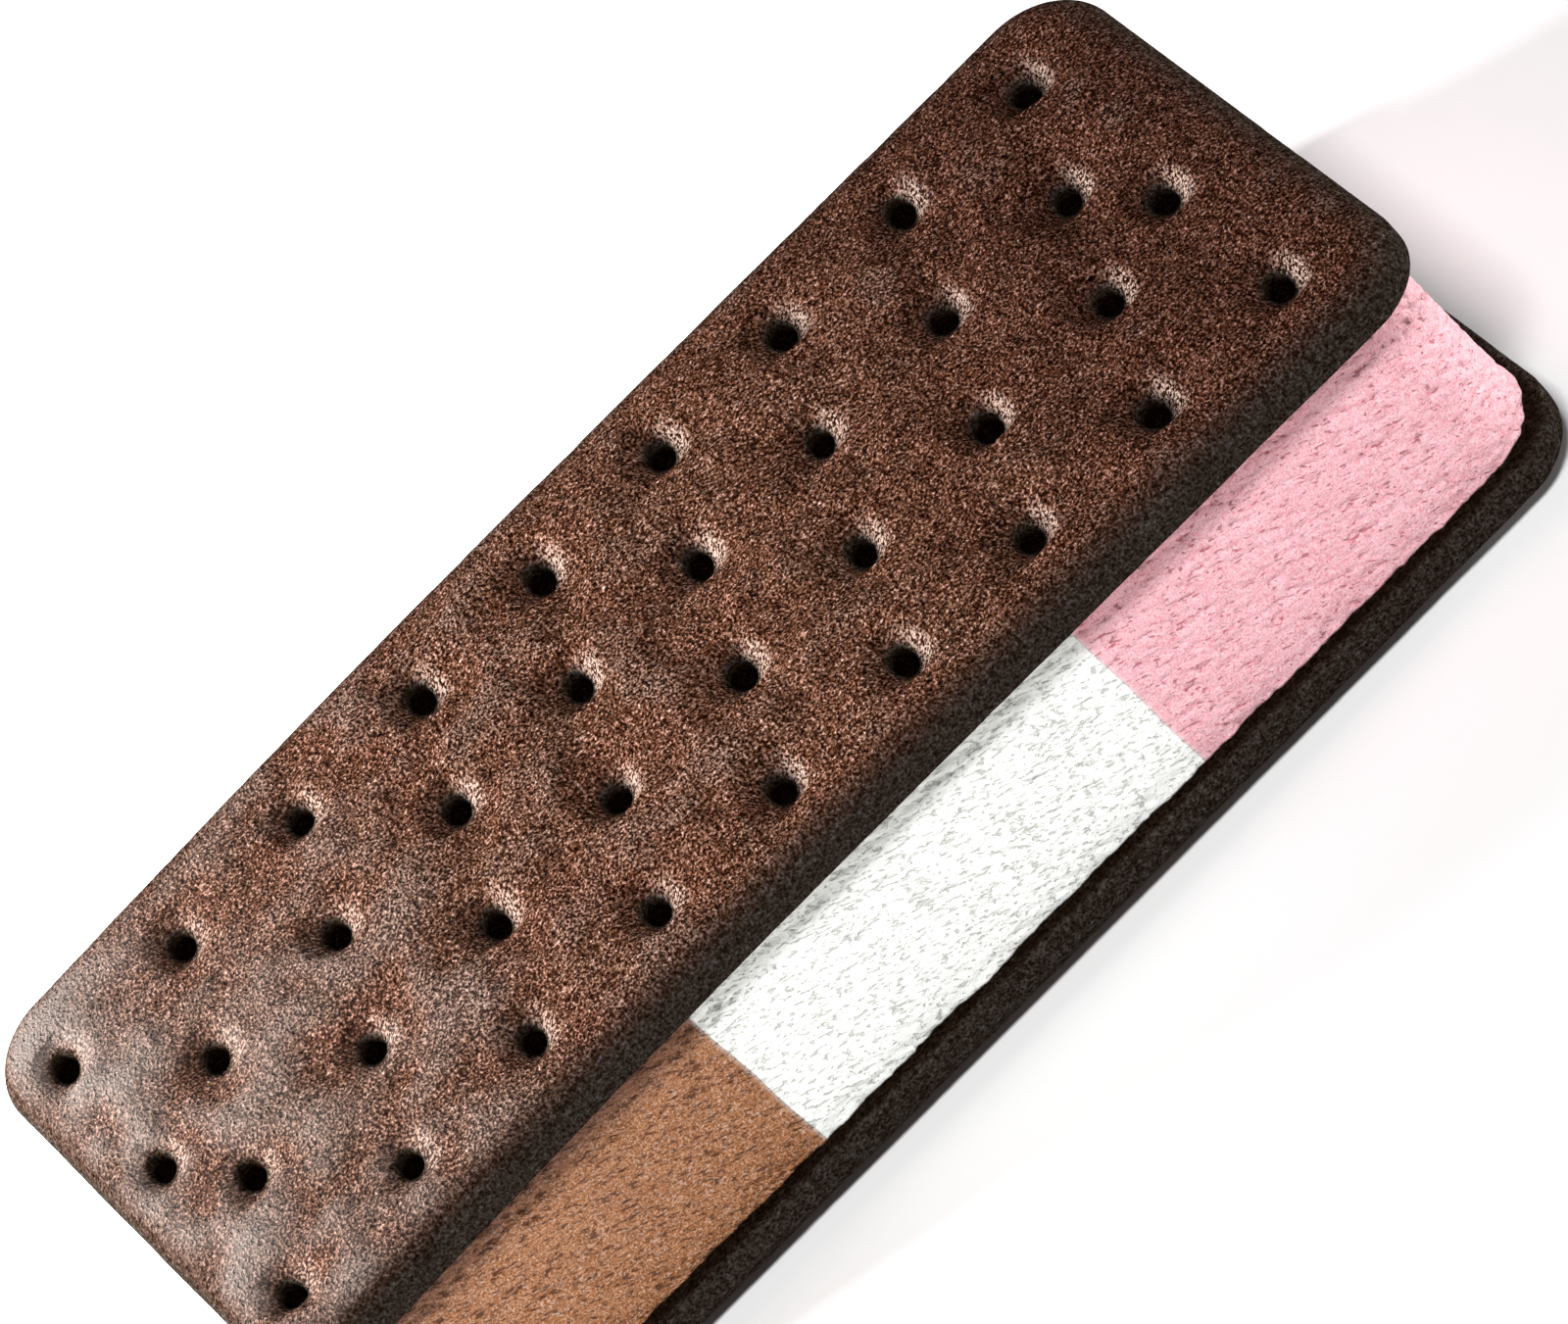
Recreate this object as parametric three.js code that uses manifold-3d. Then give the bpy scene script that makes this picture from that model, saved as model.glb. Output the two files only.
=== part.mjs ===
// A Neapolitan ice cream sandwich: strawberry, vanilla and chocolate ice cream side by side
// between two soft chocolate wafers that are pricked all over with docking holes.
// Millimetres, +X along the sandwich towards the strawberry end, +Z up, standing on its bottom
// wafer, with the origin under the middle of the bounding box.

import * as THREE from "three";
import { mergeVertices } from "three/addons/utils/BufferGeometryUtils.js";
import Module from "manifold-3d";

const wasm = await Module();
wasm.setup();

// ---------------------------------------------------------------- driving dimensions

const waferLength = 130.9;
const waferWidth = 57.2;
const waferThickness = 5.3;
const iceCreamHeight = 22.7;

// The wafer is cut with rounded corners. Its baked outer face rolls over to the side, and its
// inner face, which lies on the ice cream, keeps a sharp edge.
const cornerRadius = 7.4;
const outerRounding = 3.1;

// The knife ran slightly askew: X drifts by this much for each millimetre of -Y.
const skew = 0.052;

// The top wafer sits a little towards -X of the bottom one and sags towards its two ends.
const topShift = { x: -0.63, y: -0.06 };
const endSag = { chocolate: 1.8, strawberry: 0.3 };

// Docking holes: four rows, each shifted by a third of the pitch, and one extra hole at each end.
// The rows lean: Y grows by this much for each millimetre of X. The pins are oval, longer in Y.
const holePitch = 14.4;
const rowPitch = 13.25;
const rowLean = 0.0075;
const holesInRow = [9, 8, 8, 9];
const firstHoleInRow = [0, 2 / 3, 1 / 3, 0];
const extraHole = { along: 8, across: 0.56 };
const patternShift = { x: -2.3, y: -0.72 };
const holeDepth = 4.4;
const holeFloorRadius = 0.85;
const holeNeckRadius = 1.15;
const dimpleRadius = 3.3;
const dimpleDepth = 1.2;
const ovalShare = { shaft: 1.5, collar: 1.2 };
const pillowHeight = 0.3;

// The ice cream stands back from the wafers' edges. Its three flavours are of equal length.
const iceCreamInset = { side: 2.45, end: 1.3 };
const iceCreamCornerRadius = 7.6;
const flavourJoints = [-21.3, 22.9];
const sideBulge = 0.2;
const cragDepth = 0.22;

// Neighbouring pieces keep this gap.
const gap = 0.3;

const colours = {
  wafer: 0x523429,
  strawberry: 0xecb2bc,
  vanilla: 0xf6f5ef,
  chocolate: 0xa97a5a,
};

// ---------------------------------------------------------------- solids and meshes

function toSolid(geometry) {
  const positions = geometry.attributes.position.array;
  const index = geometry.index.array;
  const triangles = [];
  for (let i = 0; i < index.length; i += 3) {
    const [a, b, c] = [index[i], index[i + 1], index[i + 2]];
    if (a !== b && b !== c && c !== a) triangles.push(a, b, c);
  }
  const mesh = new wasm.Mesh({
    numProp: 3,
    vertProperties: Float32Array.from(positions),
    triVerts: Uint32Array.from(triangles),
  });
  return new wasm.Manifold(mesh);
}

function toGeometry(solid) {
  const mesh = solid.getMesh();
  const geometry = new THREE.BufferGeometry();
  geometry.setAttribute("position", new THREE.BufferAttribute(mesh.vertProperties, 3));
  geometry.setIndex(new THREE.BufferAttribute(mesh.triVerts, 1));
  return geometry;
}

// The geometry with only its positions, and one vertex where several met.
function welded(geometry) {
  geometry.deleteAttribute("normal");
  geometry.deleteAttribute("uv");
  return mergeVertices(geometry);
}

// A closed box grid whose lines stand at the given stations, each vertex then moved by bend.
// bend gets a point whose z is 0 on the lower face and 1 on the upper one.
function bentGrid(stationsX, stationsY, layers, bend) {
  const cellsX = stationsX.length - 1;
  const cellsY = stationsY.length - 1;
  const box = welded(new THREE.BoxGeometry(cellsX, cellsY, layers, cellsX, cellsY, layers));
  const position = box.attributes.position;
  const point = new THREE.Vector3();
  for (let i = 0; i < position.count; i += 1) {
    point.fromBufferAttribute(position, i);
    const column = Math.round(point.x + cellsX / 2);
    const row = Math.round(point.y + cellsY / 2);
    point.set(stationsX[column], stationsY[row], point.z / layers + 1 / 2);
    bend(point);
    position.setXYZ(i, point.x, point.y, point.z);
  }
  return box;
}

// Insets from the edge at which the grid lines stand closer, so that the arcs come out round.
function edgeInsets(radius) {
  return [0, 0.35, 1.3, 0.42 * radius, 0.73 * radius, radius];
}

// Grid lines from -half to half: close together at both ends, and at a step in between.
function stations(half, radius, step, phase) {
  const insets = edgeInsets(radius);
  const core = half - radius;
  const clear = step / 3;
  const list = insets.map((inset) => inset - half);
  const first = Math.ceil((clear - core - phase) / step);
  for (let i = first; i * step + phase < core - clear; i += 1) list.push(i * step + phase);
  for (const inset of insets.toReversed()) list.push(half - inset);
  return list;
}

// Draws a rectangle's corner in to an arc, and returns how far the point is inside the outline.
function roundCorner(point, halfX, halfY, radius) {
  const overX = Math.abs(point.x) - (halfX - radius);
  const overY = Math.abs(point.y) - (halfY - radius);
  const reach = Math.max(overX, overY);
  if (overX > 0 && overY > 0) {
    const pull = reach / Math.hypot(overX, overY);
    point.x = Math.sign(point.x) * (halfX - radius + overX * pull);
    point.y = Math.sign(point.y) * (halfY - radius + overY * pull);
  }
  return radius - reach;
}

// The direction that points straight out of a rounded rectangle's side.
function outwards(point, halfX, halfY, radius) {
  const overX = Math.max(Math.abs(point.x) - (halfX - radius), 0) * Math.sign(point.x);
  const overY = Math.max(Math.abs(point.y) - (halfY - radius), 0) * Math.sign(point.y);
  return new THREE.Vector2(overX, overY).normalize();
}

// How far a quarter-round edge has dropped, at an inset from the side.
function edgeDrop(inset, radius) {
  if (inset >= radius) return 0;
  return radius - Math.sqrt(radius ** 2 - (radius - inset) ** 2);
}

// How far the top wafer has sagged, which grows with the square of the distance from the middle.
function sag(x) {
  const depth = x < 0 ? endSag.chocolate : endSag.strawberry;
  return depth * (x / (waferLength / 2)) ** 2;
}

// ---------------------------------------------------------------- wafers

// Centres of the docking holes on the outer face.
function holeCentres() {
  const rows = holesInRow.length;
  const spots = [];
  for (let row = 0; row < rows; row += 1) {
    for (let i = 0; i < holesInRow[row]; i += 1) {
      spots.push([firstHoleInRow[row] + i, row / (rows - 1)]);
    }
  }
  const lastHole = holesInRow[0] - 1;
  spots.push([extraHole.along, extraHole.across]);
  spots.push([lastHole - extraHole.along, 1 - extraHole.across]);
  return spots.map(([along, across]) => {
    const x = (along - lastHole / 2) * holePitch;
    const y = (1 / 2 - across) * (rows - 1) * rowPitch + rowLean * x;
    return { x: x + patternShift.x, y: y + patternShift.y };
  });
}

// The outer face swells between the holes and is drawn down at them, like a quilt.
function pillow(x, y, holes) {
  const nearest = Math.min(...holes.map((hole) => Math.hypot(x - hole.x, y - hole.y)));
  const reach = Math.min(nearest / (holePitch / 2), 1);
  return pillowHeight * (reach - 1);
}

// The pin that pricks a hole: an oval shaft under a flared collar, pointing down from z = 0.
function dockingPin(seed) {
  const wear = 0.92 + 0.16 * THREE.MathUtils.seededRandom(seed);
  const above = 2;
  const profile = [
    [0, -holeDepth],
    [holeFloorRadius, -holeDepth],
    [holeNeckRadius, -dimpleDepth],
    [dimpleRadius * wear, 0],
    [dimpleRadius * wear, above],
    [0, above],
  ];
  const points = profile.map(([radius, height]) => new THREE.Vector2(radius, height));
  const sides = 10;
  const pin = welded(new THREE.LatheGeometry(points, sides).rotateX(Math.PI / 2));
  const position = pin.attributes.position;
  for (let i = 0; i < position.count; i += 1) {
    const inShaft = position.getZ(i) < -dimpleDepth / 2;
    position.setY(i, position.getY(i) * (inShaft ? ovalShare.shaft : ovalShare.collar));
  }
  return pin;
}

// The room under a wafer, which trims its inner face. It sags as the wafer does.
function underside(sagging) {
  const margin = 10;
  const cells = 24;
  const halfX = waferLength / 2 + margin;
  const halfY = waferWidth / 2 + margin;
  const alongX = Array.from({ length: cells + 1 }, (_, i) => halfX * ((2 * i) / cells - 1));
  return bentGrid(alongX, [-halfY, halfY], 1, (point) => {
    const drop = sagging ? sag(point.x) : 0;
    point.z = (point.z - 1) * margin - drop;
  });
}

// One wafer with its outer face up, its inner face at z = 0 and its middle over the origin.
// A flat one lies on a table. The other one sags at its ends and swells between its holes.
function wafer({ flat, firstSeed }) {
  const halfX = waferLength / 2;
  const halfY = waferWidth / 2;
  const holes = holeCentres();
  const stationsX = stations(halfX, cornerRadius, holePitch / 3, patternShift.x);
  const stationsY = stations(halfY, cornerRadius, rowPitch / 2, patternShift.y);
  const allowance = 1;
  const slab = bentGrid(stationsX, stationsY, 1, (point) => {
    const inset = roundCorner(point, halfX, halfY, cornerRadius);
    const drop = flat ? 0 : sag(point.x);
    if (point.z === 1) {
      const fade = Math.min(inset / cornerRadius, 1);
      const swell = flat ? 0 : pillow(point.x, point.y, holes) * fade;
      point.z = waferThickness + swell - edgeDrop(inset, outerRounding) - drop;
    } else {
      point.z = -allowance - drop;
    }
  });
  let solid = toSolid(slab).subtract(toSolid(underside(!flat)));
  holes.forEach((hole, i) => {
    const pin = dockingPin(firstSeed + i);
    const drop = flat ? 0 : pillowHeight / 2 + sag(hole.x);
    pin.translate(hole.x, hole.y, waferThickness - drop);
    solid = solid.subtract(toSolid(pin));
  });
  return toGeometry(solid);
}

// ---------------------------------------------------------------- ice cream

// Small crags and hollows of the cut ice cream, from slow waves that cross at odd angles.
function crag(x, y, z) {
  const along = x + y;
  const first = Math.sin(0.83 * along + 0.31 * z) * Math.sin(0.47 * z - 0.29 * along);
  const second = Math.sin(0.37 * along - 0.71 * z + 1.3);
  return (cragDepth * (first + second)) / 2;
}

// The face where two flavours meet wanders slightly on its way across and down.
function jointX(middle, y, height) {
  return middle + 0.35 * Math.sin(0.13 * y + middle) + 0.15 * Math.sin(0.5 * height + 0.4 * y);
}

// One flavour on z = 0, between two joints, or between one joint and the sandwich's own end.
function iceCream(leftJoint, rightJoint) {
  const halfX = waferLength / 2 - iceCreamInset.end;
  const halfY = waferWidth / 2 - iceCreamInset.side;
  const radius = iceCreamCornerRadius;
  const layers = 7;
  const insets = edgeInsets(radius).filter((inset) => inset === 0 || inset > 2);
  const from = leftJoint ?? radius - halfX;
  const to = rightJoint ?? halfX - radius;
  const between = (start, end, cells) =>
    Array.from({ length: cells + 1 }, (_, i) => start + ((end - start) * i) / cells);
  const fromEdge = insets.slice(0, -1);
  const stationsY = [
    ...fromEdge.map((inset) => inset - halfY),
    ...between(radius - halfY, halfY - radius, 5),
    ...fromEdge.toReversed().map((inset) => halfY - inset),
  ];
  const stationsX = between(from, to, 9);
  if (leftJoint === undefined) stationsX.unshift(...fromEdge.map((inset) => inset - halfX));
  if (rightJoint === undefined) {
    stationsX.push(...fromEdge.toReversed().map((inset) => halfX - inset));
  }
  return bentGrid(stationsX, stationsY, layers, (point) => {
    const onSkin = Math.abs(point.y) === halfY || Math.abs(point.x) === halfX;
    const share = (point.x - from) / (to - from);
    const height = gap + point.z * (iceCreamHeight - 2 * gap);
    roundCorner(point, halfX, halfY, radius);
    if (onSkin) {
      const hollow = sideBulge * (2 * point.z - 1) ** 2;
      const out = crag(point.x, point.y, height) - hollow;
      const direction = outwards(point, halfX, halfY, radius);
      point.x += direction.x * out;
      point.y += direction.y * out;
    }
    if (share >= 0 && share <= 1) {
      const leftX = leftJoint === undefined ? from : jointX(leftJoint, point.y, height) + gap / 2;
      const rightX = rightJoint === undefined ? to : jointX(rightJoint, point.y, height) - gap / 2;
      point.x = leftX + (rightX - leftX) * share;
    }
    const raised = height / iceCreamHeight;
    point.z = height - sag(point.x) * raised;
    point.x += topShift.x * (raised - 1 / 2);
  });
}

// ---------------------------------------------------------------- the sandwich

const sandwich = new THREE.Group();

// direction is -1 for a piece that is turned over, whose own Y runs the other way.
function addPiece(name, geometry, colour, roughness, direction = 1) {
  geometry.applyMatrix4(new THREE.Matrix4().makeShear(0, 0, -skew * direction, 0, 0, 0));
  const material = new THREE.MeshStandardMaterial({ color: colour, roughness, metalness: 0 });
  const mesh = new THREE.Mesh(geometry, material);
  mesh.name = name;
  sandwich.add(mesh);
  return mesh;
}

// The bottom wafer is turned over, so its baked face and its holes look down.
const flatWafer = wafer({ flat: true, firstSeed: 100 });
const bottomWafer = addPiece("wafer_bottom", flatWafer, colours.wafer, 0.85, -1);
bottomWafer.rotation.x = Math.PI;
bottomWafer.position.set(-topShift.x / 2, -topShift.y / 2, waferThickness);

const [chocolateJoint, strawberryJoint] = flavourJoints;
const flavours = [
  ["ice_cream_chocolate", iceCream(undefined, chocolateJoint), colours.chocolate],
  ["ice_cream_vanilla", iceCream(chocolateJoint, strawberryJoint), colours.vanilla],
  ["ice_cream_strawberry", iceCream(strawberryJoint, undefined), colours.strawberry],
];
for (const [name, geometry, colour] of flavours) {
  addPiece(name, geometry, colour, 0.6).position.z = waferThickness;
}

const saggingWafer = wafer({ flat: false, firstSeed: 200 });
const topWafer = addPiece("wafer_top", saggingWafer, colours.wafer, 0.85);
topWafer.position.set(topShift.x / 2, topShift.y / 2, waferThickness + iceCreamHeight);

export default sandwich;
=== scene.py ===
# An ice cream sandwich: chocolate, vanilla and strawberry ice cream side by side between two
# soft chocolate wafers. Every piece is shaped in millimetres, in the sandwich's own frame, with
# +X towards the strawberry end and +Z up, and its last step brings it to metres.

import math
import random

import bmesh
import bpy
from mathutils import Matrix, Vector, noise


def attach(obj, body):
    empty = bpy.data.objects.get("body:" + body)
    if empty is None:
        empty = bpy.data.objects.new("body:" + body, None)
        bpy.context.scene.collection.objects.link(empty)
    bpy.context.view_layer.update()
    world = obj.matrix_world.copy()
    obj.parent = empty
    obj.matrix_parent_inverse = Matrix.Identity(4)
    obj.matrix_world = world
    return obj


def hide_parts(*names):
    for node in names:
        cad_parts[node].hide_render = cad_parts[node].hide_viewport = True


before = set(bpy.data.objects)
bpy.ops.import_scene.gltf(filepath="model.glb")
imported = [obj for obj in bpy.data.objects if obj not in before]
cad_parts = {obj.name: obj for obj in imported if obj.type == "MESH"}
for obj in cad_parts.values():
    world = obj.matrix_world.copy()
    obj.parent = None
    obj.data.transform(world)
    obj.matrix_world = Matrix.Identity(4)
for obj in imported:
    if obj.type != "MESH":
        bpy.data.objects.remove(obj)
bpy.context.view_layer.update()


# ---------------------------------------------------------------- bottom wafer
# A soft dark chocolate wafer, rolled from cocoa dough, pricked by docking pins, baked and cut to
# a rounded rectangle. This one lies with its baked face down. The baked face rolls over to the
# side, and the inner face, which carries the ice cream, has a crisp edge.

MM = 0.001
wafer_length = 130.9
wafer_width = 57.2
wafer_thickness = 5.3
wafer_corner = 7.4
face_rounding = 3.1
lip_rounding = 0.35

# The knife ran askew: X drifts by this much for each millimetre of -Y.
skew = 0.052

# How far the top wafer lies off the bottom one. Each of the two is moved by half of it.
top_shift = Vector((-0.63, -0.06, 0))

# The docking holes lie in four rows, each a third of the pitch off the one before, with one extra
# hole near each end. The rows lean: Y grows by row_lean for each millimetre of X.
hole_pitch = 14.4
row_pitch = 13.25
holes_in_row = (9, 8, 8, 9)
first_hole_in_row = (0, 2 / 3, 1 / 3, 0)
extra_hole = (8, 0.56)
pattern_shift = Vector((-2.3, -0.72))
row_lean = 0.0075
hole_wander = 0.12
hole_size_spread = 0.06

# A hole is an oval shaft, longer in Y, that widens from its foot to its neck. There it meets a
# dimple, which has dust and a painted highlight on one side.
hole_depth = 4.4
hole_foot = 0.85
hole_neck = 1.15
neck_depth = 1.35
dimple_radius = 3.3
oval = 1.5
dough_under_hole = 0.5
dust_and_highlight_side = (0.96, -0.28)

# Towards the chocolate end the dimples get shallower. Between these two X they come to lose
# dimple_loss, as a share of their depth.
full_dimples = -20
shallow_dimples = -60
dimple_loss = 0.5

# The dough lies in pillows between the holes, with swells, patches and crumbs in it. A swell
# comes up to the plain wafer's surface at swell_top. Whatever would stand higher is pressed flat,
# resting_gap below that surface.
pillow_height = 0.45
swell_width = 7.5
swell_height = 0.6
swell_top = 0.45
patch_width = 3.1
patch_height = 0.32
crumb_width = 1.15
crumb_height = 0.09
resting_gap = 0.02

# How far the baked face droops towards its edge, and over what width.
edge_droop = 0.7
droop_width = 6

# The mesh: the width of its cells, how far it reaches in under the wafer, and at which ring of
# cells round a hole the shaft meets the dimple and the dimple meets the plain grid.
cell = 0.335
ledge_run = 3.9
neck_ring = 5
last_ring = 12


def between(low, high, share):
    """The value that lies the given share of the way from low to high."""
    return low + (high - low) * share


def ramp(value, start, end):
    """A smooth step: 0 before start, 1 past end. The end may be lower than the start."""
    share = min(max((value - start) / (end - start), 0), 1)
    return share * share * (3 - 2 * share)


def waves(place, width, seed=0):
    """Smooth noise between about -1 and 1, whose bumps have the given width."""
    return noise.noise(place / width + Vector((seed * 17.3, seed * 5.1, seed * 9.7)))


def docking_spots(rng):
    """Centre and size of each docking hole, a little off its place in the lattice."""
    last_row = len(holes_in_row) - 1
    spots = [
        (first + i, row / last_row)
        for row, (first, count) in enumerate(zip(first_hole_in_row, holes_in_row))
        for i in range(count)
    ]
    last_hole = holes_in_row[0] - 1
    along, across = extra_hole
    spots += [(along, across), (last_hole - along, 1 - across)]
    holes = []
    for along, across in spots:
        spot = Vector(((along - last_hole / 2) * hole_pitch, (0.5 - across) * last_row * row_pitch))
        wander = Vector((rng.uniform(-1, 1), rng.uniform(-1, 1))) * hole_wander
        spot.y += row_lean * spot.x
        x, y = spot + pattern_shift + wander
        holes.append((x, y, rng.uniform(1 - hole_size_spread, 1 + hole_size_spread)))
    return holes


def round_off(a, b):
    """Ring number of a point on square rings round (0, 0), and its direction on a round ring."""
    ring = max(abs(a), abs(b))
    if ring == 0:
        return 0, (0, 0)
    if abs(a) >= abs(b):
        turn = math.pi / 4 * b / a
        side = math.copysign(1, a)
        return ring, (side * math.cos(turn), side * math.sin(turn))
    turn = math.pi / 4 * a / b
    side = math.copysign(1, b)
    return ring, (side * math.sin(turn), side * math.cos(turn))


def prick(u, v, hole, i, j):
    """Pulls a sheet point onto its ring round a docking hole, i and j cells from the middle. The
    result is its new place, its depth, how far it is inside the hole, from 0 to 1, how much
    painted shade darkens the pit there, and how much dust and painted highlight lies on it."""
    hole_x, hole_y, size = hole
    ring, direction = round_off(i, j)
    neck = hole_neck * size
    dent = neck_depth * size * (1 - dimple_loss * ramp(hole_x, full_dimples, shallow_dimples))
    if ring <= neck_ring:
        climb = max(ring - 1, 0) / (neck_ring - 1)
        radius = between(hole_foot, neck, climb) * min(ring, 1)
        depth = between(hole_depth, dent, climb)
        inside = 1
        pit_shade = ramp(ring, neck_ring + 1, neck_ring - 1)
        dusting_and_highlight = 0
    else:
        radius = between(neck, last_ring * cell, (ring - neck_ring) / (last_ring - neck_ring))
        rise = (radius - neck) / (dimple_radius - hole_neck)
        depth = dent * between(max(1 - rise, 0) ** 2, ramp(rise, 1, 0), 0.5)
        inside = ramp(rise, 1 / 3, 0)
        pit_shade = 0
        facing = dust_and_highlight_side[0] * direction[0] + dust_and_highlight_side[1] * direction[1]
        dusting_and_highlight = ramp(abs(rise - 0.4), 0.5, 3 / 26) * max(facing, 0) ** 2
    pull = ramp(ring / last_ring, 1, 0.55)
    stretch = between(1, oval, pull)
    u = between(u, hole_x + radius * direction[0], pull)
    v = between(v, hole_y + radius * direction[1] * stretch, pull)
    return u, v, depth, inside, pit_shade, dusting_and_highlight


def edge_section(run):
    """The wafer's edge in section. run is the way along the surface from where the baked face
    starts to roll over; the result is the reach outwards, the height and the outward normal."""
    roll = math.pi / 2 * face_rounding
    wall = wafer_thickness - face_rounding - lip_rounding
    lip = math.pi / 2 * lip_rounding
    if run < roll:
        turn = run / face_rounding
        reach = face_rounding * (math.sin(turn) - 1)
        height = wafer_thickness + face_rounding * (math.cos(turn) - 1)
        return reach, height, (math.sin(turn), math.cos(turn))
    run -= roll
    if run < wall:
        return 0, wafer_thickness - face_rounding - run, (1, 0)
    run -= wall
    if run < lip:
        turn = run / lip_rounding
        reach = lip_rounding * (math.cos(turn) - 1)
        return reach, lip_rounding * (1 - math.sin(turn)), (math.cos(turn), -math.sin(turn))
    return -lip_rounding - (run - lip), 0, (0, -1)


# Round a corner, the baked face stays flat for flat_run before it rolls over. From there the way
# over the edge and in under the wafer, to the rim of the mesh, is edge_run long.
flat_run = wafer_corner - face_rounding
edge_run = (
    math.pi / 2 * (face_rounding + lip_rounding)
    + wafer_thickness - face_rounding - lip_rounding + ledge_run
)


def wrap_wafer(u, v):
    """Lays a point of the flat sheet (u, v) on the wafer. The result is its place, its outward
    normal and its run, as in edge_section, which is below 0 on the flat of the baked face."""
    core = Vector((wafer_length / 2 - wafer_corner, wafer_width / 2 - wafer_corner))
    over = Vector((max(abs(u) - core.x, 0), max(abs(v) - core.y, 0)))
    ring, direction = round_off(over.x, over.y)
    run = ring - flat_run
    if run < 0:
        reach, height, normal = ring - wafer_corner, wafer_thickness, (0, 1)
    else:
        reach, height, normal = edge_section(run)
    out = Vector((math.copysign(direction[0], u), math.copysign(direction[1], v)))
    x = math.copysign(min(abs(u), core.x), u) + out.x * (wafer_corner + reach)
    y = math.copysign(min(abs(v), core.y), v) + out.y * (wafer_corner + reach)
    return Vector((x, y, height)), Vector((out.x * normal[0], out.y * normal[0], normal[1])), run


def bake_wafer(seed, sag):
    """A wafer with its baked face up and its inner face at z = 0, sagging by sag(x). Its layer
    crust is 1 on the baked face and 0 on the side. It falls below 0 for painted shade in the pits
    and on the inner face. Raised grows with the bumps, and dust lies on one side of each dimple,
    as dust and a painted highlight."""
    holes = docking_spots(random.Random(seed))
    half_run = Vector((wafer_length / 2, wafer_width / 2))
    half_run += Vector((1, 1)) * (edge_run - face_rounding)
    cells = [2 * round(run / cell) for run in half_run]
    step = [2 * run / count for run, count in zip(half_run, cells)]

    near_hole = {}
    rings = range(-last_ring, last_ring + 1)
    for hole in holes:
        middle = [round((hole[k] + half_run[k]) / step[k]) for k in (0, 1)]
        for i in rings:
            for j in rings:
                near_hole[middle[0] + i, middle[1] + j] = (hole, i, j)

    bm = bmesh.new()
    bmesh.ops.create_grid(bm, x_segments=cells[0], y_segments=cells[1], size=1)
    crust_and_shade = bm.verts.layers.float.new("crust_and_shade")
    raised = bm.verts.layers.float.new("raised")
    dust_and_highlight = bm.verts.layers.float.new("dust_and_highlight")
    ledge_start = edge_run - ledge_run
    for vert in bm.verts:
        u = vert.co.x * half_run.x
        v = vert.co.y * half_run.y
        spot = (round((u + half_run.x) / step[0]), round((v + half_run.y) / step[1]))
        depth, inside, pit_shade, dusting_and_highlight = 0, 0, 0, 0
        if spot in near_hole:
            u, v, depth, inside, pit_shade, dusting_and_highlight = prick(u, v, *near_hole[spot])
        place, normal, run = wrap_wafer(u, v)

        nearest = min(math.hypot(u - hole[0], v - hole[1]) for hole in holes)
        pillow = min(nearest / (hole_pitch / 2), 1) - 1
        swell = waves(place, swell_width, seed)
        patch = waves(place, patch_width, seed + 1)
        crumb = waves(place, crumb_width, seed + 2)
        on_face = ramp(run, 2.5, -3)
        lift = pillow_height * pillow * on_face
        lift += swell_height * (swell - swell_top) * between(0.1, 1, on_face)
        lift += patch_height * patch * between(0.1, 1, on_face)
        lift += crumb_height * crumb * between(0.4, 1, on_face)
        droop = edge_droop * ramp(run + flat_run, 0, droop_width) * place.z / wafer_thickness

        vert.co = place + normal * min(lift, -resting_gap)
        if depth > 0:
            vert.co.z = max(vert.co.z - depth, dough_under_hole)
        vert.co.z -= droop + sag(place.x)
        # In the hole and the lower dimple the crust gives way to painted shade, darkest down the shaft.
        vert[crust_and_shade] = ramp(run, 4.2, -0.7) * (1 - inside) - pit_shade
        # Painted shade darkens the inner face, where the ledge beside the ice cream lies in shade.
        vert[crust_and_shade] -= 0.75 * ramp(run, ledge_start, ledge_start + 0.8)
        vert[raised] = 0.5 + 0.5 * (swell + 0.6 * patch + 0.5 * pillow)
        # The dust on one side of each dimple is partly a painted highlight.
        vert[dust_and_highlight] = dusting_and_highlight

    # The inner face: strips from the front of the mesh's rim to its back, then the two ends.
    long_sides = []
    for edge in bm.edges:
        way = edge.verts[1].co - edge.verts[0].co
        if edge.is_boundary and abs(way.x) > abs(way.y):
            long_sides.append(edge)
    bmesh.ops.bridge_loops(bm, edges=long_sides)
    bmesh.ops.holes_fill(bm, edges=[edge for edge in bm.edges if edge.is_boundary], sides=0)
    bmesh.ops.recalc_face_normals(bm, faces=bm.faces)
    return bm


def finish_piece(bm, name, node, material, move=Matrix()):
    """Brings a shaped mesh to its place in metres and hands it to the frame."""
    slant = Matrix(((1, -skew, 0, 0), (0, 1, 0, 0), (0, 0, 1, 0), (0, 0, 0, 1)))
    bmesh.ops.transform(bm, matrix=Matrix.Scale(MM, 4) @ slant @ move, verts=bm.verts)
    for face in bm.faces:
        face.smooth = True
    mesh = bpy.data.meshes.new(name)
    bm.to_mesh(mesh)
    bm.free()
    mesh.materials.append(material)
    piece = bpy.data.objects.new(name, mesh)
    bpy.context.collection.objects.link(piece)
    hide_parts(node)
    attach(piece, "root")


def new_material(name):
    material = bpy.data.materials.new(name)
    material.use_nodes = True
    return material, material.node_tree, material.node_tree.nodes["Principled BSDF"]


def add_node(tree, kind, values=(), **settings):
    """Adds a shader node. values gives its inputs, each a number, a colour or another output."""
    node = tree.nodes.new(kind)
    for key, value in settings.items():
        setattr(node, key, value)
    for key, value in dict(values).items():
        if isinstance(value, bpy.types.NodeSocket):
            tree.links.new(value, node.inputs[key])
        else:
            node.inputs[key].default_value = value
    return node


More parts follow.
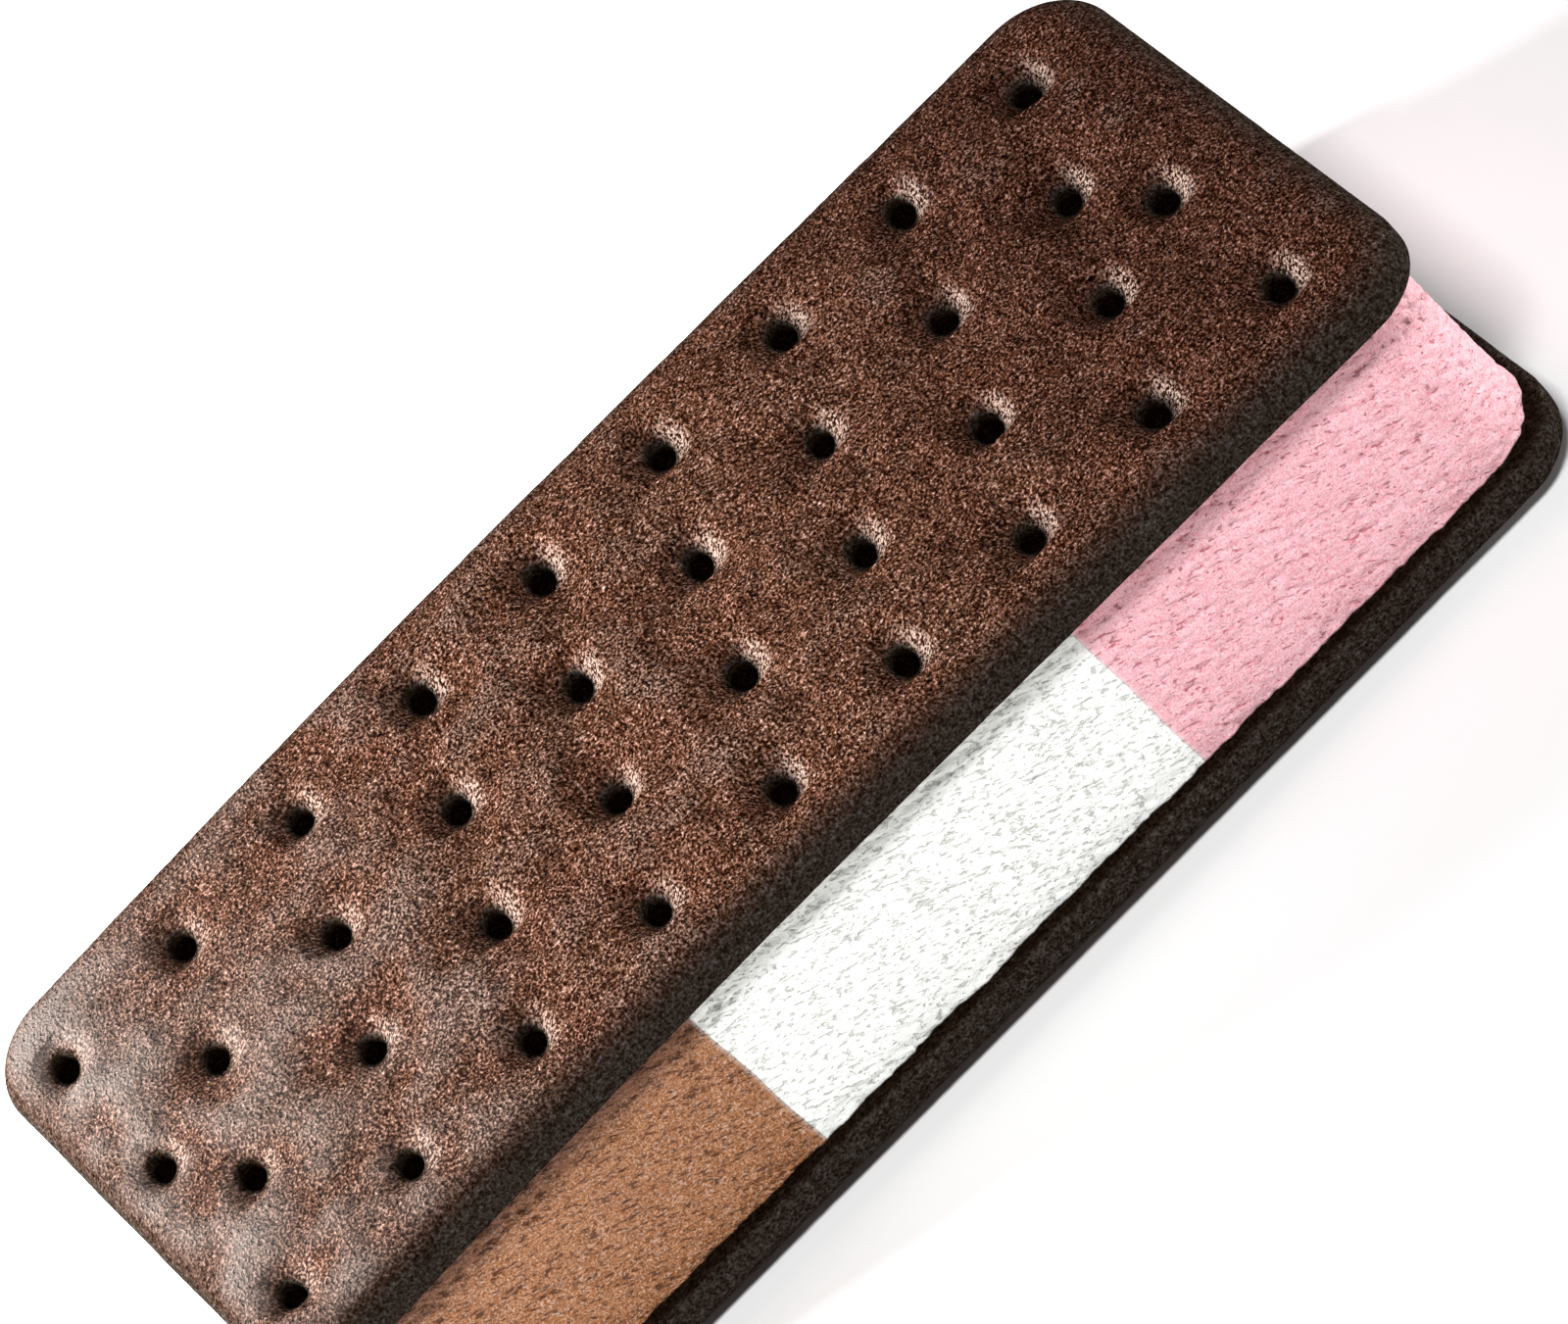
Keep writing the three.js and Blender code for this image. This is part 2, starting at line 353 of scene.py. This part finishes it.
def compute(tree, operation, first, second):
    return add_node(tree, "ShaderNodeMath", {0: first, 1: second}, operation=operation).outputs[0]


def remap(tree, value, low, high, to_low=0, to_high=1):
    """The value carried from one range to another and held inside it."""
    values = {"Value": value, "From Min": low, "From Max": high, "To Min": to_low, "To Max": to_high}
    return add_node(tree, "ShaderNodeMapRange", values).outputs["Result"]


def blend(tree, factor, first, second, mode="MIX"):
    """Two colours mixed by a factor."""
    mix = add_node(tree, "ShaderNodeMix", data_type="RGBA", blend_type=mode)
    for index, value in ((0, factor), (6, first), (7, second)):
        if isinstance(value, bpy.types.NodeSocket):
            tree.links.new(value, mix.inputs[index])
        else:
            mix.inputs[index].default_value = value
    return mix.outputs[2]


def layer_value(tree, name):
    """The value that the mesh's layer of this name has there."""
    return add_node(tree, "ShaderNodeAttribute", attribute_name=name).outputs["Fac"]


def grain_noise(tree, where, width, detail=2.0, roughness=0.5):
    """Noise whose grains have the given width in millimetres."""
    values = {"Vector": where, "Scale": 1 / (width * MM), "Detail": detail, "Roughness": roughness}
    return add_node(tree, "ShaderNodeTexNoise", values).outputs["Fac"]


def wafer_material():
    """Dark baked dough with a sandy grain, dark pores and pale flecks, with painted shade towards +X
    and in the pits. What stands up has a pale bloom that is partly a painted sheen, each dimple has
    dust and a painted highlight on one side, and a dull film with a painted sheen lies towards the
    -X end."""
    side_brown = (0.024, 0.0175, 0.0135, 1)
    face_brown = (0.067, 0.0276, 0.0148, 1)
    ruddy_brown = (0.067, 0.0245, 0.0126, 1)
    painted_shade_brown = (0.042, 0.0144, 0.0076, 1)
    pore_brown = (0.012, 0.006, 0.004, 1)
    dust_and_highlight_beige = (0.30, 0.222, 0.185, 1)
    film_and_sheen_grey = (0.155, 0.132, 0.12, 1)
    fleck_beige = (0.55, 0.42, 0.36, 1)
    pore_spacing = 0.8

    material, tree, shader = new_material("chocolate_wafer")
    where = add_node(tree, "ShaderNodeTexCoord").outputs["Object"]
    along = add_node(tree, "ShaderNodeSeparateXYZ", {0: where}).outputs["X"]
    crust_and_shade = layer_value(tree, "crust_and_shade")
    raised = layer_value(tree, "raised")
    dust_and_highlight = layer_value(tree, "dust_and_highlight")

    # The dough is mottled, and darker towards +X with painted shade. It is darker on its cut side,
    # and darker still, as painted shade, in the pits and on the inner face.
    mottle = grain_noise(tree, where, width=6.0, detail=3.0)
    colour = blend(tree, remap(tree, mottle, 0.35, 0.65), face_brown, ruddy_brown)
    colour = blend(tree, remap(tree, along, 15 * MM, 45 * MM), colour, painted_shade_brown)
    colour = blend(tree, crust_and_shade, side_brown, colour)

    # Its grain is stronger on the baked face, and painted shade makes it darkest in the pits and
    # on the inner face. Dark grains are redder.
    sand = grain_noise(tree, where, width=0.27, detail=1.0, roughness=0.6)
    crumb = grain_noise(tree, where, width=0.7, detail=2.0, roughness=0.6)
    contrast = remap(tree, crust_and_shade, 0, 1, 2.0, 4.8)
    reds = compute(tree, "POWER", compute(tree, "MULTIPLY", sand, 2.0), contrast)
    reds = compute(tree, "MULTIPLY", reds, remap(tree, crumb, 0.35, 0.65, 0.72, 1.27))
    reds = compute(tree, "MULTIPLY", reds, remap(tree, crust_and_shade, -1, 0, 0.12, 1))
    greens = compute(tree, "POWER", reds, 1.25)
    blues = compute(tree, "POWER", reds, 1.5)
    grain = add_node(tree, "ShaderNodeCombineColor", {0: reds, 1: greens, 2: blues}).outputs[0]
    colour = blend(tree, 1.0, colour, grain, "MULTIPLY")

    pores = add_node(tree, "ShaderNodeTexVoronoi", {"Vector": where, "Scale": 1 / (pore_spacing * MM)})
    pore = remap(tree, pores.outputs["Distance"], 0.14, 0.3, 1, 0)
    colour = blend(tree, compute(tree, "MULTIPLY", pore, 0.75), colour, pore_brown)

    # The bloom, partly a painted sheen, and the dust, partly a painted highlight, lie on the pale
    # grains alone. Bloom gets thicker towards -X, dust thinner.
    paleness = compute(tree, "ADD", raised, remap(tree, along, -65 * MM, 20 * MM, 0.6, 0))
    bloom_and_sheen = compute(tree, "MULTIPLY", remap(tree, paleness, 0.68, 1.35), remap(tree, crust_and_shade, 0.3, 1, 0, 0.7))
    dusting_and_highlight = compute(tree, "MULTIPLY", dust_and_highlight, remap(tree, along, -50 * MM, 0, 0.6, 1.2))
    powder_and_highlight = compute(tree, "ADD", bloom_and_sheen, dusting_and_highlight)
    powder_and_highlight = compute(tree, "MULTIPLY", powder_and_highlight, remap(tree, sand, 0.46, 0.60))
    colour = blend(tree, powder_and_highlight, colour, dust_and_highlight_beige)

    # The film, partly a painted sheen, is thickest at the -X end and on what stands up.
    film_and_sheen = compute(tree, "POWER", remap(tree, along, -66 * MM, -5 * MM, 1, 0), 2.2)
    film_and_sheen = compute(tree, "MULTIPLY", film_and_sheen, remap(tree, paleness, 0.75, 1.35, 0.15, 0.95))
    film_and_sheen = compute(tree, "MULTIPLY", film_and_sheen, remap(tree, crust_and_shade, 0.3, 1))
    colour = blend(tree, film_and_sheen, colour, film_and_sheen_grey)

    speck = grain_noise(tree, where, width=0.16, detail=1.0)
    fleck = compute(tree, "MULTIPLY", remap(tree, speck, 0.68, 0.76), crust_and_shade)
    colour = blend(tree, compute(tree, "MULTIPLY", fleck, 0.6), colour, fleck_beige)

    tree.links.new(colour, shader.inputs["Base Color"])
    tree.links.new(remap(tree, raised, 0.2, 0.9, 0.68, 0.55), shader.inputs["Roughness"])
    shader.inputs["Specular IOR Level"].default_value = 0.0
    height = compute(tree, "SUBTRACT", sand, compute(tree, "MULTIPLY", pore, 0.9))
    strength = compute(tree, "SUBTRACT", 1.0, compute(tree, "MULTIPLY", dust_and_highlight, 0.35))
    bump = add_node(tree, "ShaderNodeBump", {"Height": height, "Strength": strength, "Distance": 0.25 * MM})
    tree.links.new(bump.outputs["Normal"], shader.inputs["Normal"])
    return material


chocolate_wafer = wafer_material()
turned_over = Matrix.Translation(Vector((0, 0, wafer_thickness)) - top_shift / 2)
turned_over @= Matrix.Diagonal((1, -1, -1, 1))
bottom = bake_wafer(11, lambda x: 0)
finish_piece(bottom, "bottom_wafer", "wafer_bottom", chocolate_wafer, turned_over)


# ---------------------------------------------------------------- chocolate ice cream
# A block of frozen cream at the -X end, squeezed out and cut with its neighbours as one bar. Its
# skin is torn into short ragged pits where the knife dragged. It draws in a little under the top
# wafer, where painted shade darkens it, and spreads to a ragged foot on the bottom one.

# The ice cream reaches ice_bite into each wafer, and stands in from their edges by the insets.
ice_height = 22.7
ice_bite = 0.05
end_inset = 1.3
side_inset = 2.45
ice_length = wafer_length - 2 * end_inset
ice_width = wafer_width - 2 * side_inset
ice_corner = 7.6

# The X of the two joints between flavours, and how far each wanders and ripples.
flavour_joints = (-21.3, 22.9)
joint_wander = 0.35
joint_ripple = 0.06

# The skin draws in by side_draw at the top and spreads by it at the foot, which is ragged up to
# foot_height.
side_draw = 0.3
foot_height = 0.8

# The mesh: the width of its cells in the skin, and how many there are across a joint.
skin_cell = 0.2
joint_cells = 16

# The tears run down towards +X at a slant. Each is a pit with a step at its upper edge.
tear_length = 1.6
tear_width = 0.85
tear_slant = math.radians(28)
tear_depth = 0.27
step_depth = 0.2

# Bumps in the skin, as the width and the height of each kind and the seed of its noise. The skin
# as a whole lies skin_sink below the plain block's.
skin_bumps = ((9, 0.08, 1), (2.4, 0.05, 2), (0.7, 0.03, 6))
skin_sink = 0.08

# How far down from the top the painted shade under the top wafer starts to thin out, and where
# it ends.
under_wafer_shade_full = 2.4
under_wafer_shade_end = 5.2

# How far the top wafer has sagged at each of its ends.
sag_at_chocolate = 1.8
sag_at_strawberry = 0.3

# The white is that of the specks of ice in it, and of the vanilla smeared on its edge.
vanilla_white = (0.97, 0.97, 0.945, 1)
chocolate_brown = (0.4, 0.161, 0.057, 1)
chocolate_shade = (0.11, 0.028, 0.009, 1)


def end_sag(x):
    """How far the top wafer has sagged at x. It grows with the square of the way from the middle."""
    depth = sag_at_chocolate if x < 0 else sag_at_strawberry
    return depth * (x / (wafer_length / 2)) ** 2


ice_core = Vector((ice_length / 2 - ice_corner, ice_width / 2 - ice_corner))
ice_outline = 4 * (ice_core.x + ice_core.y) + 2 * math.pi * ice_corner
half_outline = ice_outline / 2


def outline_point(s):
    """Walks the bar's rounded outline from the middle of its front towards +X: place, normal."""
    quarter = math.pi / 2 * ice_corner
    s %= ice_outline
    past_half = s >= half_outline
    s -= half_outline if past_half else 0
    x, y = s, -ice_core.y - ice_corner
    normal = (0, -1)
    s -= ice_core.x
    if s > 0:
        turn = min(s / ice_corner, math.pi / 2)
        normal = (math.sin(turn), -math.cos(turn))
        x = ice_core.x + ice_corner * normal[0]
        y = -ice_core.y + ice_corner * normal[1]
        s -= quarter
    if s > 0:
        y = -ice_core.y + min(s, 2 * ice_core.y)
        s -= 2 * ice_core.y
    if s > 0:
        turn = min(s / ice_corner, math.pi / 2)
        normal = (math.cos(turn), math.sin(turn))
        x = ice_core.x + ice_corner * normal[0]
        y = ice_core.y + ice_corner * normal[1]
        s -= quarter
    if s > 0:
        x = ice_core.x - s
    if past_half:
        return Vector((-x, -y)), Vector((-normal[0], -normal[1]))
    return Vector((x, y)), Vector(normal)


def joint_x(joint, y, z):
    """Where two flavours meet: a flat cut that wanders a little."""
    wander = joint_wander * math.sin(0.13 * y + joint)
    return joint + wander + joint_ripple * math.sin(0.5 * z + 0.4 * y)


def on_joint(s, z):
    """Shifts a run's end along the outline so that it lies on the wandering joint there."""
    plan, normal = outline_point(s)
    joint = min(flavour_joints, key=lambda x: abs(x - plan.x))
    drift = joint_x(joint, plan.y, z) - joint
    return s + drift if plan.y < 0 else s - drift


def torn_skin(place):
    """How far the skin stands out, and how torn it is. It is torn most towards the top."""
    along = place.x + place.y
    run = (math.cos(tear_slant) * along - math.sin(tear_slant) * place.z) / tear_length
    rise = (math.sin(tear_slant) * along + math.cos(tear_slant) * place.z) / tear_width
    ragged = waves(place, 1.1, 4)
    first = noise.noise(Vector((run + 0.5 * ragged, rise, 3.7)))
    second = noise.noise(Vector((1.9 * run, 1.9 * rise + ragged, 8.3)))
    above = noise.noise(Vector((run + 0.5 * ragged, rise + 0.45, 3.7)))
    reach = 0.6 + 0.5 * waves(place, 6, 3) + 0.8 * place.z / ice_height
    tear = reach * max(first + 0.5 * second - 0.05, 0)
    step = reach * max(first - above, 0)
    bumps = sum(height * waves(place, width, seed) for width, height, seed in skin_bumps)
    spread = 0.15 + 0.25 * waves(place, 3.1, 7) + 0.15 * waves(place, 0.9, 8)
    foot = max(1 - place.z / foot_height, 0) * spread
    return bumps - skin_sink + foot - tear_depth * tear - step_depth * step, tear


def draw_in(level):
    """How far the skin stands back at a level from 0 to 1: in at the top, out at the foot."""
    return side_draw * (2 * level - 1) * abs(2 * level - 1)


def ice_block(runs):
    """A closed block whose side walls follow the runs. A run is ("skin", start, end), along the
    outline, or ("joint", joint, direction), straight through the bar; ends lie on the joints. Its
    layers are torn, seam, which is the distance from the nearest joint, and the painted shade
    under the top wafer."""
    rows = round(ice_height / skin_cell)
    columns = []
    for kind, start, end in runs:
        length = abs(end - start) if kind == "skin" else ice_width
        count = round(length / skin_cell) if kind == "skin" else joint_cells
        columns += [(kind, start, end, i / count) for i in range(count)]
    columns.append((*runs[-1], 1))

    bm = bmesh.new()
    bmesh.ops.create_grid(bm, x_segments=len(columns) - 1, y_segments=rows, size=1)
    torn = bm.verts.layers.float.new("torn")
    seam = bm.verts.layers.float.new("seam")
    under_wafer_shade = bm.verts.layers.float.new("under_wafer_shade")
    for vert in bm.verts:
        column = round((vert.co.x + 1) / 2 * (len(columns) - 1))
        level = (vert.co.y + 1) / 2
        z = level * ice_height
        kind, start, end, share = columns[column]
        if kind == "skin":
            starts = on_joint(start, z)
            ends = on_joint(end, z)
            plan, normal = outline_point(between(starts, ends, share))
            lift, tear = torn_skin(Vector((plan.x, plan.y, z)))
            plan += normal * (lift - draw_in(level))
        else:
            sides = []
            for side in (-1, 1):
                edge_y = side * ice_width / 2
                lift, tear = torn_skin(Vector((joint_x(start, edge_y, z), edge_y, z)))
                sides.append(edge_y + side * (lift - draw_in(level)))
            way = share if end > 0 else 1 - share
            plan = Vector((joint_x(start, (way - 0.5) * ice_width, z), between(*sides, way)))
        vert[torn] = tear
        vert[seam] = min(abs(plan.x - joint_x(joint, plan.y, z)) for joint in flavour_joints)
        # Painted shade under the top wafer, fading down the block.
        vert[under_wafer_shade] = ramp(ice_height - z, under_wafer_shade_end, under_wafer_shade_full)
        height = wafer_thickness - ice_bite + level * (ice_height + 2 * ice_bite)
        lean = top_shift.x * (level - 0.5)
        vert.co = (plan.x + lean, plan.y, height - end_sag(plan.x) * level)
    bmesh.ops.remove_doubles(bm, verts=bm.verts, dist=skin_cell / 20)
    bmesh.ops.holes_fill(bm, edges=[edge for edge in bm.edges if edge.is_boundary], sides=0)
    bmesh.ops.recalc_face_normals(bm, faces=bm.faces)
    return bm


def cream_material(name, colour, shadow, tearing, pitting, paleness, under_wafer_shading, relief):
    """Frozen cream with fine pits, pale specks of ice, and cracks along slanting streaks; painted
    shade darkens the pits, the cracks and the streaks. It has painted shade under the top wafer,
    and its edge at a joint is smeared with vanilla."""
    along_streak = (0.9, 0.9, -0.43)
    across_streak = (0.43, 0.43, 0.9)
    streak_squash = 0.42

    material, tree, shader = new_material(name)
    where = add_node(tree, "ShaderNodeTexCoord").outputs["Object"]
    torn = layer_value(tree, "torn")
    seam = layer_value(tree, "seam")
    under_wafer_shade = layer_value(tree, "under_wafer_shade")

    run = add_node(tree, "ShaderNodeVectorMath", {0: where, 1: along_streak}, operation="DOT_PRODUCT")
    rise = add_node(tree, "ShaderNodeVectorMath", {0: where, 1: across_streak}, operation="DOT_PRODUCT")
    squashed = compute(tree, "MULTIPLY", run.outputs["Value"], streak_squash)
    slanting = add_node(tree, "ShaderNodeCombineXYZ", {0: squashed, 1: rise.outputs["Value"]}).outputs[0]

    fine = grain_noise(tree, where, width=0.2, detail=2.0, roughness=0.6)
    crumb = grain_noise(tree, where, width=0.8, detail=3.0, roughness=0.6)
    soft = grain_noise(tree, where, width=4.0, detail=2.0)
    broad = grain_noise(tree, slanting, width=1.0, detail=3.0, roughness=0.6)
    streak = grain_noise(tree, slanting, width=0.36, detail=3.0, roughness=0.65)
    streak = compute(tree, "ADD", streak, remap(tree, fine, 0.25, 0.75, -0.06, 0.06))
    streak = compute(tree, "ADD", streak, compute(tree, "MULTIPLY", torn, 0.1))
    streak = compute(tree, "ADD", streak, remap(tree, broad, 0.3, 0.7, -0.05, 0.05))
    crack = remap(tree, streak, 0.70 - tearing, 0.79 - tearing)

    tint = blend(tree, remap(tree, soft, 0.35, 0.65, 0, 0.1), colour, shadow)
    # Painted shade darkens the slanting streaks and the fine pits.
    tint = blend(tree, remap(tree, broad, 0.5, 0.7, 0, 0.3), tint, shadow)
    tint = blend(tree, remap(tree, fine, 0.3, 0.5, pitting, 0), tint, shadow)
    tint = blend(tree, remap(tree, fine, 0.52, 0.75, 0, paleness), tint, vanilla_white)
    # Painted shade darkens the cracks.
    tint = blend(tree, compute(tree, "MULTIPLY", crack, 0.9), tint, shadow)
    # Painted shade under the top wafer.
    tint = blend(tree, compute(tree, "MULTIPLY", under_wafer_shade, under_wafer_shading), tint, shadow)
    ragged = compute(tree, "ADD", seam, remap(tree, fine, 0.3, 0.7, -0.25, 0.25))
    tint = blend(tree, remap(tree, ragged, 0, 0.35, 0.35, 0), tint, vanilla_white)

    tree.links.new(tint, shader.inputs["Base Color"])
    shader.inputs["Roughness"].default_value = 0.55
    shader.inputs["Specular IOR Level"].default_value = 0.3
    height = compute(tree, "MULTIPLY", fine, 0.4)
    height = compute(tree, "ADD", height, compute(tree, "MULTIPLY", crumb, 0.8))
    height = compute(tree, "SUBTRACT", height, compute(tree, "MULTIPLY", crack, 1.3))
    bump = add_node(tree, "ShaderNodeBump", {"Height": height, "Strength": 1.0, "Distance": relief * MM})
    tree.links.new(bump.outputs["Normal"], shader.inputs["Normal"])
    return material


left_joint, right_joint = flavour_joints
block = ice_block([
    ("skin", half_outline - left_joint, ice_outline + left_joint),
    ("joint", left_joint, 1),
])
brown_cream = cream_material(
    "chocolate_cream", chocolate_brown, chocolate_shade,
    tearing=0.11, pitting=1.0, paleness=0.4, under_wafer_shading=0.7, relief=0.36,
)
finish_piece(block, "chocolate_block", "ice_cream_chocolate", brown_cream)


# ---------------------------------------------------------------- vanilla ice cream
# The middle block, frozen to its neighbours at both joints, of plain white cream. It is the
# palest of the three, so its tears show only as small grey dashes.

vanilla_shade = (0.78, 0.79, 0.72, 1)

block = ice_block([
    ("skin", left_joint, right_joint),
    ("joint", right_joint, 1),
    ("skin", half_outline - right_joint, half_outline - left_joint),
    ("joint", left_joint, -1),
])
white_cream = cream_material(
    "vanilla_cream", vanilla_white, vanilla_shade,
    tearing=0.12, pitting=0.3, paleness=0, under_wafer_shading=0.6, relief=0.14,
)
finish_piece(block, "vanilla_block", "ice_cream_vanilla", white_cream)


# ---------------------------------------------------------------- strawberry ice cream
# The block at the +X end, of cream coloured pink by fruit, cut and torn as the others are. Its
# rounded end shows past the top wafer.

strawberry_pink = (0.87, 0.495, 0.55, 1)
strawberry_shade = (0.66, 0.14, 0.175, 1)

block = ice_block([
    ("skin", right_joint, half_outline - right_joint),
    ("joint", right_joint, -1),
])
pink_cream = cream_material(
    "strawberry_cream", strawberry_pink, strawberry_shade,
    tearing=0.08, pitting=0.7, paleness=0.35, under_wafer_shading=0.2, relief=0.15,
)
finish_piece(block, "strawberry_block", "ice_cream_strawberry", pink_cream)


# ---------------------------------------------------------------- top wafer
# The same wafer with its baked face up, pressed onto the ice cream. It lies a little towards -X
# of the bottom one and has sagged towards its ends, most at the chocolate end.

on_top = Matrix.Translation(Vector((0, 0, wafer_thickness + ice_height)) + top_shift / 2)
top = bake_wafer(23, end_sag)
finish_piece(top, "top_wafer", "wafer_top", chocolate_wafer, on_top)


# ---------------------------------------------------------------- floor, light and camera
# A plain pale floor under soft studio light, all in metres and watts. A low lamp past the
# chocolate end rakes the baked face, a larger one above the camera lights the top and the cut
# side, a weak one fills in from the front right, and a low one lights the strawberry end.

floor_size = 6
floor_grey = (0.84, 0.84, 0.84, 1)
sky_strength = 0.05

bpy.ops.mesh.primitive_plane_add(size=floor_size)
floor = bpy.context.object
floor.name = "floor"
floor_paint, tree, shader = new_material("floor_paint")
shader.inputs["Base Color"].default_value = floor_grey
shader.inputs["Roughness"].default_value = 0.9
floor.data.materials.append(floor_paint)

world = bpy.data.worlds.new("studio")
world.use_nodes = True
world.node_tree.nodes["Background"].inputs["Color"].default_value = (1, 1, 1, 1)
world.node_tree.nodes["Background"].inputs["Strength"].default_value = sky_strength
bpy.context.scene.world = world


def area_lamp(name, place, aim, size, watts, spread=180):
    """A rectangular lamp turned towards aim. Its light spreads over an angle given in degrees."""
    lamp = bpy.data.lights.new(name, "AREA")
    lamp.shape = "RECTANGLE"
    lamp.size, lamp.size_y = size
    lamp.energy = watts
    lamp.spread = math.radians(spread)
    holder = bpy.data.objects.new(name, lamp)
    holder.location = place
    holder.rotation_euler = (Vector(aim) - Vector(place)).to_track_quat("-Z", "Y").to_euler()
    bpy.context.collection.objects.link(holder)


area_lamp("rake", (-0.285, 0.1, 0.107), aim=(-0.04, 0, 0.04), size=(0.12, 0.07), watts=1.15, spread=90)
area_lamp("front", (0.0, -0.44, 0.828), aim=(0, 0, 0.015), size=(0.3, 0.14), watts=8.9)
area_lamp("fill", (0.2, -0.26, 0.05), aim=(0.03, -0.026, 0.018), size=(0.12, 0.05), watts=0.03, spread=90)
area_lamp("end", (0.45, 0.06, 0.022), aim=(0.06, 0, 0.018), size=(0.15, 0.03), watts=0.35, spread=90)

# The camera looks at view_aim from an angle of view_height above the floor, rolled to one side.
view_height = math.radians(42)
view_roll = math.radians(-44.93)
view_distance = 0.93871
view_aim = Vector((0.00593, 0.00646, 0.01665))
lens_mm = 255.58
sensor_mm = 36

camera_data = bpy.data.cameras.new("camera")
camera_data.lens = lens_mm
camera_data.sensor_width = sensor_mm
camera_data.clip_start = 0.05
camera_data.clip_end = 20
camera = bpy.data.objects.new("camera", camera_data)
turn = Matrix.Rotation(math.pi / 2 - view_height, 4, "X") @ Matrix.Rotation(view_roll, 4, "Z")
back = Vector((0, -math.cos(view_height), math.sin(view_height)))
camera.matrix_world = Matrix.Translation(view_aim + back * view_distance) @ turn
bpy.context.collection.objects.link(camera)
bpy.context.scene.camera = camera
bpy.context.scene.view_settings.view_transform = "Standard"
